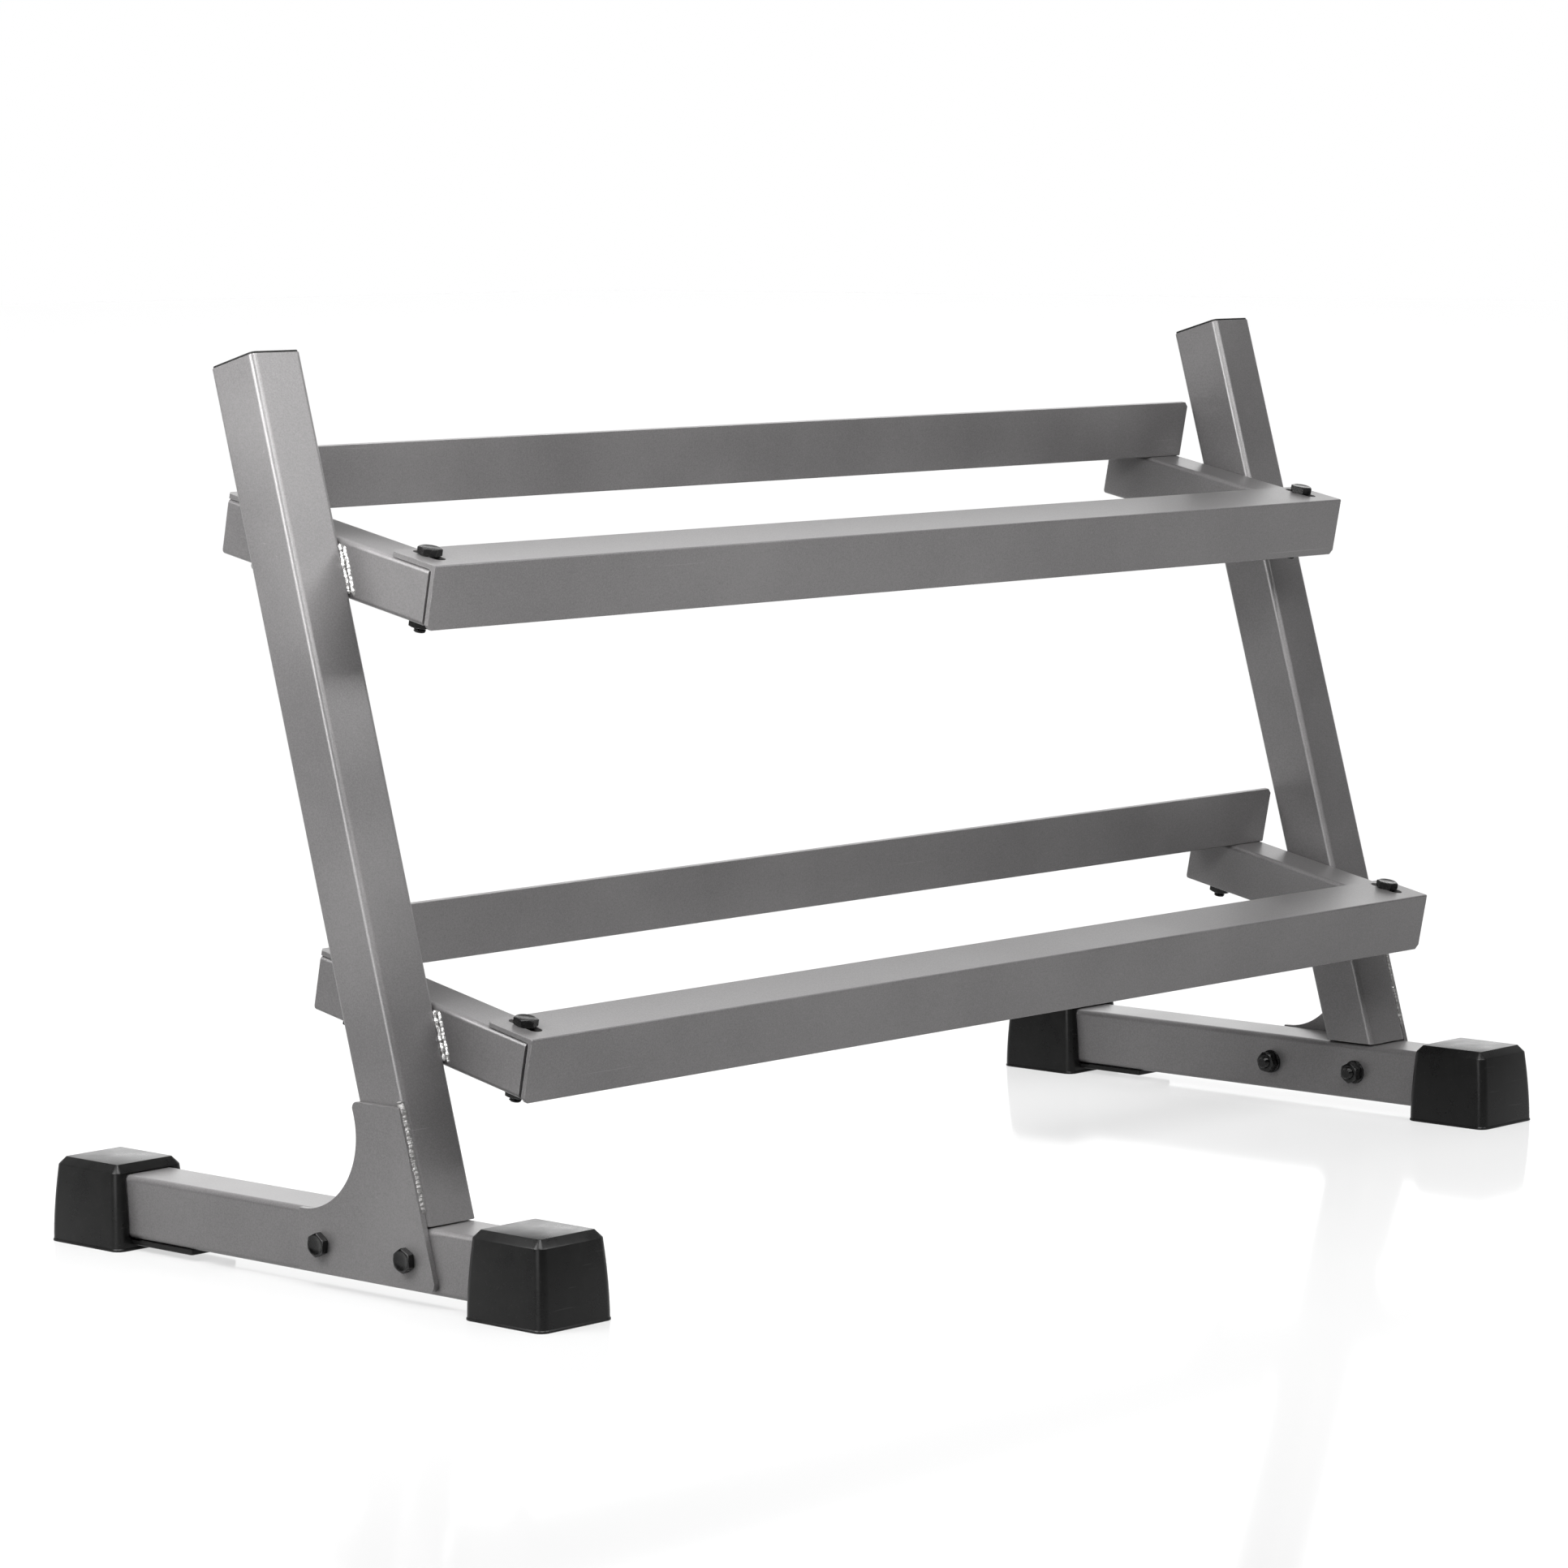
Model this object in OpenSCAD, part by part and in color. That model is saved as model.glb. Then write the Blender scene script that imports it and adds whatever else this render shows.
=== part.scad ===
// Two-tier dumbbell rack: leaning square posts on floor runners, with two sloping shelves of angle rail.
// +X is to the right seen from the front, +Y to the back, +Z up. The origin is on the floor, under the
// middle of the rack. Lengths are in millimetres and angles in degrees.

/* [Overall] */
// Width over the outer faces of the two posts
frame_w = 1230; // [700:10:1500]
// Depth over the four foot caps
frame_d = 564; // [540:4:640]
// Height of the upper shelf where it crosses the posts
upper_shelf_h = 580; // [520:5:640]
// Height of the lower shelf where it crosses the posts
lower_shelf_h = 228; // [200:4:260]
// Length of a post along its front face
post_l = 681; // [680:1:760]
// Backward lean of the posts
post_lean = 15.7; // [10:0.1:17]
// Downward slope of the shelves towards the front
shelf_tilt = 11.5; // [8:0.5:14]

/* [Tube] */
// Outer size of the square post and runner tube
tube_w = 50.8; // [48:0.4:52]
// Wall of the post and runner tube
tube_t = 2.5; // [2:0.5:4]
// Outer corner radius of the post and runner tube
tube_r = 5; // [4:0.5:6]
// Outer size of the square shelf bracket tube
bracket_w = 44.5; // [40:0.5:48]
// Wall of the shelf bracket tube
bracket_t = 2.5; // [2:0.5:3.5]
// Outer corner radius of the shelf bracket tube
bracket_r = 4; // [3:0.5:5]
// Reach of a shelf bracket in front of the post's centre line
bracket_front = 130; // [110:5:150]
// Reach of a shelf bracket behind the post's centre line
bracket_rear = 101; // [90:1:120]

/* [Rails] */
// Width of each flange of a shelf rail
rail_w = 50.8; // [48:0.4:56]
// Thickness of a shelf rail
rail_t = 4; // [3:0.5:5]
// Radius of a shelf rail's crisp outer corner
rail_edge_r = 1.5; // [1:0.5:4]
// Radius of the root between a shelf rail's flanges
rail_root_r = 2.5; // [2:0.5:5]
// Clip at the free corners of a rail's flanges
rail_clip = 4; // [2:0.5:6]
// Length of the slots in a shelf rail
slot_l = 32; // [22:1:32]

/* [Gusset] */
// Thickness of the gusset plates
gusset_t = 5; // [4:0.5:6]
// Height of a gusset plate's top edge above the floor
gusset_top = 150.5; // [145:0.5:160]
// Radius of the hollow in a gusset plate's rear edge
gusset_hollow_r = 62; // [58:1:66]

/* [Feet] */
// Gap between the floor and the runners
runner_lift = 10; // [8:1:14]
// Length of a foot cap along the runner, at the floor
cap_l = 85; // [72:0.5:90]
// Width of a foot cap at the floor
cap_w = 77.5; // [68:0.5:84]
// Height of a foot cap
cap_h = 68.7; // [66:0.1:76]
// Reach of a rear foot cap's tongue under the runner
tongue_l = 71.5; // [40:0.5:90]

/* [Fasteners] */
// Thread diameter of every bolt
bolt_d = 10; // [8:1:10]
// Width across the flats of the bolt heads and nuts
hex_w = 17; // [15:0.5:17]
// Height of a bolt head
head_h = 6.5; // [5:0.5:8]
// Height of a nut
nut_h = 8; // [6:0.5:10]
// Length of bolt that stands out of a nut
bolt_end = 4; // [2:0.5:6]

/* [Hidden] */
$fn = 48;
eps = 0.01;
far = 400;                                  // longer than any hole or cutting block needs

left = -1;                                  // side factors: the model is mirrored about x = 0
right = 1;
post_x = (frame_w - tube_w) / 2;            // centre line of a post and of its runner
inner_x = frame_w / 2 - tube_w;             // inner face of a post
runner_top = runner_lift + tube_w;
runner_mid = runner_lift + tube_w / 2;
post_gap = 1.2;                             // clearance between a post's foot and its runner
post_front_y = -148.8;                      // front edge of a post, level with the runner's top
post_mid_y = post_front_y + tube_w / 2 / cos(post_lean);
post_slant = tube_w / 2 * tan(post_lean);   // how far the level foot cut rises over half the tube
post_end = post_l - post_slant;             // a post's square-cut top, up its centre line
end_wall = 8;                               // wall of a foot cap beyond the runner's end
plug_depth = 14;                            // how far a plug goes into its tube
plug_flange = 1.8;                          // thickness of an upright plug's flange
plug_margin = 0.9;                          // step from the tube's outside to the flange's edge

rail_gap = 2;                               // gap between a front rail and the bracket ends
rail_end_gap = 0.5;                         // gap between a rail's end and the post
rail_l = 2 * (inner_x - rail_end_gap);
rail_corner = rail_t + rail_root_r;         // where a rail's flat flanges begin, from its corner
rail_overhang = 4;                          // reach of a rear rail behind the bracket ends
slot_from_corner = 30;                      // centre of a slot from a rail's outer corner
hole_d = bolt_d + 1;                        // clearance hole and slot width
bolt_inset = 24;                            // shelf bolts from the bracket ends
shelf_bolt_x = inner_x - bracket_w / 2;
front_bolt_y = -bracket_front + bolt_inset;
rear_bolt_y = bracket_rear - bolt_inset;
front_rail_y = -bracket_front - rail_gap - rail_t;
rear_rail_y = bracket_rear + rail_overhang - rail_w;

gusset_bottom = runner_lift + 2.6;
gusset_rear_y = -8.6;
gusset_inset = 1.5;                         // front edge of a gusset behind the post's front face
gusset_toe_r = 7;
gusset_tip_r = 5;
base_bolt_y = [-129, -33];                  // front and rear base bolts
washer_d = 21;
washer_t = 2;
hex_chamfer = 1.2;
weld_r = 3.4;

cap_taper = [                               // height, side inset and end inset of a foot cap's outline
    [0, 0, 0], [22, 0.9, 1.1], [44, 2.3, 2.7], [62.3, 3.8, 4.5], [cap_h, 9.9, 10.7]
];
cap_corner_r = 8;

// Where a post's centre line is at height h
function post_y(h) = post_mid_y + (h - runner_top) * tan(post_lean);
// Where a post's front face is at height h, behind it by inset
function post_face_y(h, inset) = post_front_y + inset + (h - runner_top) * tan(post_lean);

// ---- shared shapes ----

module rounded_square(w, r) {
    square([w, w - 2 * r], center = true);
    square([w - 2 * r, w], center = true);
    for (x = [-1, 1], y = [-1, 1]) translate([x, y] * (w / 2 - r)) circle(r);
}

module tube_section(w, wall, r) {
    difference() {
        rounded_square(w, r);
        rounded_square(w - 2 * wall, r - wall);
    }
}

// Places its children on a post: z runs up the leaning centre line from the runner's top
module on_post(side) {
    translate([side * post_x, post_mid_y, runner_top]) rotate([-post_lean, 0, 0]) children();
}

// Places its children on a shelf: y runs back up the slope, z is square to it, from the brackets' top
module on_shelf(h) {
    translate([0, post_y(h), h]) rotate([shelf_tilt, 0, 0]) children();
}

module hex_block(h) {
    intersection() {
        cylinder(d = hex_w / cos(30), h = h, $fn = 6);
        rotate_extrude() polygon([
            [0, 0], [hex_w / 2 / cos(30) + eps, 0], [hex_w / 2 / cos(30) + eps, h - hex_chamfer / 2],
            [hex_w / 2 - hex_chamfer / 4, h], [0, h]
        ]);
    }
}

// Bolt with its head on z = 0 and its shank down z
module hex_bolt(grip) {
    hex_block(head_h);
    translate([0, 0, -grip - nut_h - bolt_end]) cylinder(d = bolt_d, h = grip + nut_h + bolt_end + eps);
}

// Nut with its seat on z = 0, standing down z
module hex_nut() {
    difference() {
        mirror([0, 0, 1]) hex_block(nut_h);
        translate([0, 0, -nut_h - 1]) cylinder(d = bolt_d, h = nut_h + 2);
    }
}

// ---- feet and runners ----

module base_tube(side) {
    color("dimgray") difference() {
        translate([side * post_x, 0, runner_mid]) rotate([90, 0, 0])
            linear_extrude(frame_d - 2 * end_wall, center = true) tube_section(tube_w, tube_t, tube_r);
        base_bolt_axes(side) cylinder(d = hole_d, h = far, center = true);
    }
}

// Foot cap body with its outer end at y = -frame_d / 2
module cap_body() {
    hull() for (s = cap_taper) {
        w = cap_w / 2 - s[1] - cap_corner_r;
        l = cap_l / 2 - s[2] - cap_corner_r;
        for (x = [-w, w], y = [-l, l])
            translate([x, y + (cap_l - frame_d) / 2, max(s[0] - 0.2, 0)])
                cylinder(r = cap_corner_r, h = 0.2, $fn = 32);
    }
}

// end is -1 for a front cap and 1 for a rear cap, which also has the tongue
module foot_cap(side, end) {
    tongue_w = tube_w - 4;
    tongue_t = 5;
    color("#262626") translate([side * post_x, 0, 0]) difference() {
        union() {
            scale([1, -end, 1]) cap_body();
            if (end > 0)
                translate([-tongue_w / 2, frame_d / 2 - cap_l - tongue_l, runner_lift - tongue_t])
                    cube([tongue_w, tongue_l + 20, tongue_t]);
        }
        translate([0, 0, runner_mid]) rotate([90, 0, 0])
            linear_extrude(frame_d - 2 * end_wall, center = true) rounded_square(tube_w, tube_r);
    }
}

// ---- posts ----

// Solid post: square cut at the top, level cut at the foot
module post_block(side) {
    difference() {
        on_post(side) translate([0, 0, -2 * post_slant])
            linear_extrude(2 * post_slant + post_end) rounded_square(tube_w, tube_r);
        translate([-frame_w, -far, runner_top + post_gap - far]) cube([2 * frame_w, 2 * far, far]);
    }
}

module upright(side) {
    color("silver") difference() {
        post_block(side);
        on_post(side) translate([0, 0, -far / 2])
            linear_extrude(post_l + far) rounded_square(tube_w - 2 * tube_t, tube_r - tube_t);
    }
}

module upright_plug(side) {
    bore = tube_w - 2 * tube_t;
    color("#262626") on_post(side) translate([0, 0, post_end]) {
        linear_extrude(plug_flange) rounded_square(tube_w - 2 * plug_margin, tube_r - plug_margin);
        translate([0, 0, -plug_depth]) linear_extrude(plug_depth + eps) rounded_square(bore, tube_r - tube_t);
    }
}

// ---- gussets ----

// Points along an arc about c from angle a0 to a1
function arc(c, r, a0, a1, n) = [for (i = [0:n]) let (a = a0 + (a1 - a0) * i / n) c + r * [cos(a), sin(a)]];

// Outline in y and z: round toe at the lower front, round tip at the top, hollow rear edge
module gusset_profile() {
    toe_z = gusset_bottom + gusset_toe_r;
    toe = [post_face_y(toe_z, gusset_inset) + gusset_toe_r / cos(post_lean), toe_z];
    hollow = [gusset_rear_y - 3.4, gusset_hollow_r + runner_top + 0.5];
    tip_z = gusset_top - gusset_tip_r;
    tip_angle = asin((tip_z - hollow.y) / (gusset_hollow_r + gusset_tip_r));
    tip = [hollow.x - (gusset_hollow_r + gusset_tip_r) * cos(tip_angle), tip_z];
    heel_angle = acos((gusset_rear_y - hollow.x) / gusset_hollow_r);
    polygon(concat(
        arc(toe, gusset_toe_r, 270, 180 - post_lean, 8),
        [[post_face_y(gusset_top, gusset_inset), gusset_top]],
        arc(tip, gusset_tip_r, 90, -tip_angle, 8),
        arc(hollow, gusset_hollow_r, 180 - tip_angle, 360 - heel_angle, 36),
        [[gusset_rear_y, gusset_bottom]]
    ));
}

module gusset_block(side) {
    translate([side > 0 ? frame_w / 2 : -frame_w / 2 - gusset_t, 0, 0])
        rotate([90, 0, 90]) linear_extrude(gusset_t) gusset_profile();
}

module gusset(side) {
    color("silver") difference() {
        gusset_block(side);
        base_bolt_axes(side) cylinder(d = hole_d, h = far, center = true);
    }
}

// Bead up the front edge of a gusset, on the post's outer front corner
module gusset_weld(side) {
    bead_l = (gusset_top - runner_top) / cos(post_lean) - 3;
    color("gainsboro") difference() {
        on_post(side) translate([side * (tube_w / 2 + 1), -tube_w / 2 + gusset_inset - 0.8, 3])
            cylinder(r = weld_r, h = bead_l - 3);
        post_block(side);
        gusset_block(side);
    }
}

// ---- shelf brackets ----

module bracket_block(side, h) {
    on_shelf(h) translate([side * shelf_bolt_x, bracket_rear, -bracket_w / 2]) rotate([90, 0, 0])
        linear_extrude(bracket_front + bracket_rear) rounded_square(bracket_w, bracket_r);
}

module bracket(side, h) {
    color("silver") difference() {
        bracket_block(side, h);
        on_shelf(h) {
            translate([side * shelf_bolt_x, bracket_rear + 1, -bracket_w / 2]) rotate([90, 0, 0])
                linear_extrude(bracket_front + bracket_rear + 2)
                    rounded_square(bracket_w - 2 * bracket_t, bracket_r - bracket_t);
            for (y = [front_bolt_y, rear_bolt_y])
                translate([side * shelf_bolt_x, y, 0]) cylinder(d = hole_d, h = far, center = true);
        }
    }
}

// Section of a bead in the groove between a post's rounded corner and a flat face along x = 0
module groove_bead_section() {
    difference() {
        intersection() {
            translate([0, -0.8]) circle(weld_r);
            translate([0, -tube_w]) square(2 * tube_w);
        }
        translate([tube_r, tube_r]) circle(tube_r);
    }
}

// Beads in the grooves between a post's inner corners and the bracket's outer face, front and back
module bracket_weld(side, h) {
    bead_l = bracket_w - 4;
    slope = shelf_tilt + post_lean;         // angle between the bracket and a square cut of the post
    mid_z = (h - runner_top) / cos(post_lean) - bracket_w / 2 / cos(slope);
    color("gainsboro") on_post(side) for (end = [-1, 1])
        translate([-side * tube_w / 2, end * tube_w / 2, mid_z + end * tube_w / 2 * tan(slope) - bead_l / 2])
            mirror([side < 0 ? 1 : 0, 0, 0]) mirror([0, end > 0 ? 1 : 0, 0])
                linear_extrude(bead_l) groove_bead_section();
}

module bracket_plugs(side, h) {
    depth = plug_depth - 4;
    color("#262626") on_shelf(h) for (y = [-bracket_front + depth + 0.5, bracket_rear - 0.5])
        translate([side * shelf_bolt_x, y, -bracket_w / 2]) rotate([90, 0, 0])
            linear_extrude(depth) rounded_square(bracket_w - 2 * bracket_t, bracket_r - bracket_t);
}

// ---- shelf rails ----

// Flat flange from the corner outwards, y along its width, with its two free corners clipped
module flange() {
    linear_extrude(rail_t) polygon([
        [-rail_l / 2, rail_corner], [rail_l / 2, rail_corner], [rail_l / 2, rail_w - rail_clip],
        [rail_l / 2 - rail_clip, rail_w], [-rail_l / 2 + rail_clip, rail_w],
        [-rail_l / 2, rail_w - rail_clip]
    ]);
}

module slot() {
    for (y = [-1, 1]) translate([0, y * (slot_l - hole_d) / 2, 0]) cylinder(d = hole_d, h = far, center = true);
    cube([hole_d, slot_l - hole_d, far], center = true);
}

// Angle rail with its outer corner on the x axis, one flange back along y and one up z
module angle_rail() {
    difference() {
        flange();
        for (x = [-shelf_bolt_x, shelf_bolt_x]) translate([x, slot_from_corner, 0]) slot();
    }
    mirror([0, 1, -1]) flange();
    translate([-rail_l / 2, 0, 0]) rotate([90, 0, 90]) linear_extrude(rail_l) difference() {
        union() {
            translate([0, rail_edge_r]) square([rail_corner, rail_corner - rail_edge_r]);
            translate([rail_edge_r, 0]) square([rail_corner - rail_edge_r, rail_corner]);
            translate([rail_edge_r, rail_edge_r]) circle(rail_edge_r);
        }
        translate([rail_corner, rail_corner]) circle(rail_root_r);
    }
}

module front_rail(h) {
    color("dimgray") on_shelf(h) translate([0, front_rail_y, rail_t]) mirror([0, 0, 1]) angle_rail();
}

module rear_rail(h) {
    color("dimgray") on_shelf(h) translate([0, rear_rail_y, 0]) angle_rail();
}

// ---- fasteners ----

module shelf_bolts(h, y) {
    color("#1c1c1c") on_shelf(h) for (x = [-shelf_bolt_x, shelf_bolt_x])
        translate([x, y, rail_t]) hex_bolt(rail_t + bracket_w);
}

module shelf_nuts(h, y) {
    color("#1c1c1c") on_shelf(h) for (x = [-shelf_bolt_x, shelf_bolt_x])
        translate([x, y, -bracket_w]) hex_nut();
}

// Places its children on each base bolt's axis, z pointing out of the rack, from the post's outer face
module base_bolt_axes(side) {
    for (y = base_bolt_y)
        translate([side * frame_w / 2, y, runner_mid]) rotate([0, side * 90, 0]) rotate([0, 0, 15]) children();
}

module base_bolts(side) {
    color("#1c1c1c") base_bolt_axes(side) translate([0, 0, gusset_t])
        hex_bolt(gusset_t + tube_w + washer_t);
}

module base_washers(side) {
    color("#1c1c1c") base_bolt_axes(side) translate([0, 0, -tube_w - washer_t]) difference() {
        cylinder(d = washer_d, h = washer_t);
        translate([0, 0, -1]) cylinder(d = bolt_d, h = washer_t + 2);
    }
}

module base_nuts(side) {
    color("#1c1c1c") base_bolt_axes(side) translate([0, 0, -tube_w - washer_t]) hex_nut();
}

base_tube(left);  // left_base_tube
base_tube(right);  // right_base_tube
foot_cap(left, -1);  // front_left_foot_cap
foot_cap(right, -1);  // front_right_foot_cap
foot_cap(left, 1);  // rear_left_foot_cap
foot_cap(right, 1);  // rear_right_foot_cap
upright(left);  // left_upright
upright(right);  // right_upright
upright_plug(left);  // left_upright_plug
upright_plug(right);  // right_upright_plug
gusset(left);  // left_gusset
gusset(right);  // right_gusset
gusset_weld(left);  // left_gusset_weld
gusset_weld(right);  // right_gusset_weld
bracket(left, upper_shelf_h);  // upper_left_bracket
bracket(right, upper_shelf_h);  // upper_right_bracket
bracket(left, lower_shelf_h);  // lower_left_bracket
bracket(right, lower_shelf_h);  // lower_right_bracket
bracket_weld(left, upper_shelf_h);  // upper_left_bracket_weld
bracket_weld(right, upper_shelf_h);  // upper_right_bracket_weld
bracket_weld(left, lower_shelf_h);  // lower_left_bracket_weld
bracket_weld(right, lower_shelf_h);  // lower_right_bracket_weld
bracket_plugs(left, upper_shelf_h);  // upper_left_bracket_plugs
bracket_plugs(right, upper_shelf_h);  // upper_right_bracket_plugs
bracket_plugs(left, lower_shelf_h);  // lower_left_bracket_plugs
bracket_plugs(right, lower_shelf_h);  // lower_right_bracket_plugs
front_rail(upper_shelf_h);  // upper_front_rail
rear_rail(upper_shelf_h);  // upper_rear_rail
front_rail(lower_shelf_h);  // lower_front_rail
rear_rail(lower_shelf_h);  // lower_rear_rail
shelf_bolts(upper_shelf_h, front_bolt_y);  // upper_front_bolts
shelf_bolts(upper_shelf_h, rear_bolt_y);  // upper_rear_bolts
shelf_bolts(lower_shelf_h, front_bolt_y);  // lower_front_bolts
shelf_bolts(lower_shelf_h, rear_bolt_y);  // lower_rear_bolts
shelf_nuts(upper_shelf_h, front_bolt_y);  // upper_front_nuts
shelf_nuts(upper_shelf_h, rear_bolt_y);  // upper_rear_nuts
shelf_nuts(lower_shelf_h, front_bolt_y);  // lower_front_nuts
shelf_nuts(lower_shelf_h, rear_bolt_y);  // lower_rear_nuts
base_bolts(left);  // left_base_bolts
base_bolts(right);  // right_base_bolts
base_washers(left);  // left_base_washers
base_washers(right);  // right_base_washers
base_nuts(left);  // left_base_nuts
base_nuts(right);  // right_base_nuts
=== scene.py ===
"""Looks of a two-tier dumbbell rack.

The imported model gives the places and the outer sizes. Tubes, plates and rails are dressed copies of its
nodes with eased edges; foot caps, plugs, weld beads and fasteners are modelled here. Lengths are in metres.
"""

import math

import bmesh
import bpy
from mathutils import Matrix, Vector, noise


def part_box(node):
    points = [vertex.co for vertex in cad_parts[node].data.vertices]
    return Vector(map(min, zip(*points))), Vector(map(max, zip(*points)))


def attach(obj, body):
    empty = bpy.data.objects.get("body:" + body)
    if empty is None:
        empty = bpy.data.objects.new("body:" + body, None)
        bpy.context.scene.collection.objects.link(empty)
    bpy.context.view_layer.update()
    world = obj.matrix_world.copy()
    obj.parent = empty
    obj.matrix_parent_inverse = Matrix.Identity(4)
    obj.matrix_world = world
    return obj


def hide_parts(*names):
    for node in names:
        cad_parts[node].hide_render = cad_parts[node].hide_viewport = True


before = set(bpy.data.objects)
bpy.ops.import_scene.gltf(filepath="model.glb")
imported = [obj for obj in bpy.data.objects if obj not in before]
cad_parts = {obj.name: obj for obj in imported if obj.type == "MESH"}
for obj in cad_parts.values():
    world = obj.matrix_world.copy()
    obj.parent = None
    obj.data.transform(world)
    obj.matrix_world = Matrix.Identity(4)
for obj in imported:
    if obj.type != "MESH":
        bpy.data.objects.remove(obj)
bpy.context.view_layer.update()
MM = 0.001
noise.seed_set(5)               # the weld beads stray in the same way each run
SIDES = ("left", "right")
LEVELS = ("upper", "lower")
ENDS = ("front", "rear")

SHARP_ANGLE = math.radians(32)  # edges that turn further than this stay crisp

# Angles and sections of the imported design
LEAN = math.radians(15.7)       # backward lean of the posts
TILT = math.radians(11.5)       # slope of the shelves
TUBE_R = 5 * MM                 # outer corner radius of the posts and runners
TUBE_T = 2.5 * MM               # wall of every tube
BRACKET_W = 44.5 * MM
BRACKET_L = 231 * MM
BRACKET_R = 4 * MM
RAIL_T = 4 * MM
GUSSET_T = 5 * MM

# Fasteners
BOLT_R = 5 * MM
HEX_W = 17 * MM
HEAD_H = 6.5 * MM
NUT_H = 8 * MM
BOLT_END = 4 * MM               # bolt that stands out of its nut
THREAD_PITCH = 1.5 * MM
THREAD_DEPTH = 0.75 * MM
WASHER_R = 10.5 * MM
WASHER_T = 2 * MM
BOLT_INSET = 24 * MM            # shelf bolts from the ends of their bracket
BASE_BOLT_Y = (-129 * MM, -33 * MM)
HEX_TURNS = (15, 47, 4, 38, 22, 55)     # how far each hexagon happens to be turned, in degrees
CORNER_UP = (2, 5)              # the two of those turns that leave a base bolt's corner near the top

# Camera
CAMERA_AT = (-3.44234, -3.14237, 0.83857)
CAMERA_YAW = math.radians(47.113)
CAMERA_PITCH = math.radians(6.1385)
CAMERA_ROLL = math.radians(-0.3217)
SENSOR = 36
LENS = 127.03

# Floor
FLOOR_REACH = 30                # half its width
FLOOR_GLOSS = 0.14              # share of mirror-like reflection
FLOOR_GLOW = 0.72

# The sky as light: direction, how tight (higher is tighter), strength
SKY_LOBES = (
    ((0.73, 0.68, 0), 2, 2.05),
    ((0, 0, 1), 2, 0.33),
)


# ---- places ----

def side_sign(side):
    return -1 if side == "left" else 1


def box_size(node):
    low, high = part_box(node)
    return Vector(high) - Vector(low)


def box_middle(node):
    low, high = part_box(node)
    return (Vector(low) + Vector(high)) / 2


TUBE_W = box_size("left_upright").x
RUNNER_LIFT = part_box("left_base_tube")[0][2]
RUNNER_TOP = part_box("left_base_tube")[1][2]
RUNNER_MIDDLE = (RUNNER_LIFT + RUNNER_TOP) / 2


def post_place(side):
    """On the middle of a post's foot, with z up the lean."""
    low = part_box(side + "_upright")[0]
    middle_y = low[1] + TUBE_W / 2 / math.cos(LEAN)
    foot = Matrix.Translation((box_middle(side + "_upright").x, middle_y, low[2]))
    return foot @ Matrix.Rotation(-LEAN, 4, "X")


def bracket_place(level, side):
    """On the middle of a shelf bracket, with y back up the slope and z square to it."""
    return Matrix.Translation(box_middle(f"{level}_{side}_bracket")) @ Matrix.Rotation(TILT, 4, "X")


def base_bolt_place(side, y):
    """On the axis of a base bolt at the post's outer face, with z out of the rack."""
    sign = side_sign(side)
    face_x = box_middle(side + "_base_tube").x + sign * TUBE_W / 2
    return Matrix.Translation((face_x, y, RUNNER_MIDDLE)) @ Matrix.Rotation(sign * math.pi / 2, 4, "Y")


# ---- mesh helpers ----

def link_mesh(name, mesh):
    piece = bpy.data.objects.new(name, mesh)
    bpy.context.scene.collection.objects.link(piece)
    return piece


def mesh_of(name, build):
    """Mesh made by build(bm), smooth shaded except across its sharp edges."""
    bm = bmesh.new()
    build(bm)
    bmesh.ops.remove_doubles(bm, verts=bm.verts, dist=0.002 * MM)
    bmesh.ops.recalc_face_normals(bm, faces=bm.faces)
    for face in bm.faces:
        face.smooth = True
    mesh = bpy.data.meshes.new(name)
    bm.to_mesh(mesh)
    bm.free()
    mesh.set_sharp_from_angle(angle=SHARP_ANGLE)
    return mesh


def settle(piece):
    """Makes a piece's modifiers permanent and takes them off it."""
    graph = bpy.context.evaluated_depsgraph_get()
    graph.update()
    mesh = bpy.data.meshes.new_from_object(piece.evaluated_get(graph))
    piece.modifiers.clear()
    piece.data = mesh
    return piece


def hand_over(piece, nodes, material):
    """Gives a finished piece its material and puts it in the place of its CAD nodes."""
    piece.data.materials.clear()
    piece.data.materials.append(material)
    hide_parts(*nodes)
    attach(piece, "root")


def join_meshes(name, meshes):
    bm = bmesh.new()
    for mesh in meshes:
        bm.from_mesh(mesh)
    joined = bpy.data.meshes.new(name)
    bm.to_mesh(joined)
    bm.free()
    return joined


def add_loft(bm, loops, close_start=True, close_end=True):
    """Skins a row of loops that have the same number of points, and closes the two ends."""
    rows = [[bm.verts.new(point) for point in loop] for loop in loops]
    count = len(rows[0])
    for low, high in zip(rows, rows[1:]):
        for i in range(count):
            j = (i + 1) % count
            bm.faces.new((low[i], low[j], high[j], high[i]))
    if close_start:
        bm.faces.new(rows[0][::-1])
    if close_end:
        bm.faces.new(rows[-1])


def rounded_loop(half_x, half_y, radius, z, steps=7):
    """Rounded rectangle at height z, anticlockwise."""
    points = []
    corners = ((1, 1), (-1, 1), (-1, -1), (1, -1))
    for quarter, (sx, sy) in enumerate(corners):
        for step in range(steps + 1):
            angle = math.pi / 2 * (quarter + step / steps)
            x = sx * (half_x - radius) + radius * math.cos(angle)
            y = sy * (half_y - radius) + radius * math.sin(angle)
            points.append((x, y, z))
    return points


def square_loop(half, radius, z):
    return rounded_loop(half, half, radius, z)


def ring(radius, z, count):
    return [(radius * math.cos(math.tau * i / count), radius * math.sin(math.tau * i / count), z)
            for i in range(count)]


# ---- node helpers ----

def add_node(tree, kind, inputs=None, **settings):
    node = tree.nodes.new(kind)
    for name, value in settings.items():
        setattr(node, name, value)
    for key, value in (inputs or {}).items():
        if isinstance(value, bpy.types.NodeSocket):
            tree.links.new(value, node.inputs[key])
        else:
            node.inputs[key].default_value = value
    return node


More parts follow.
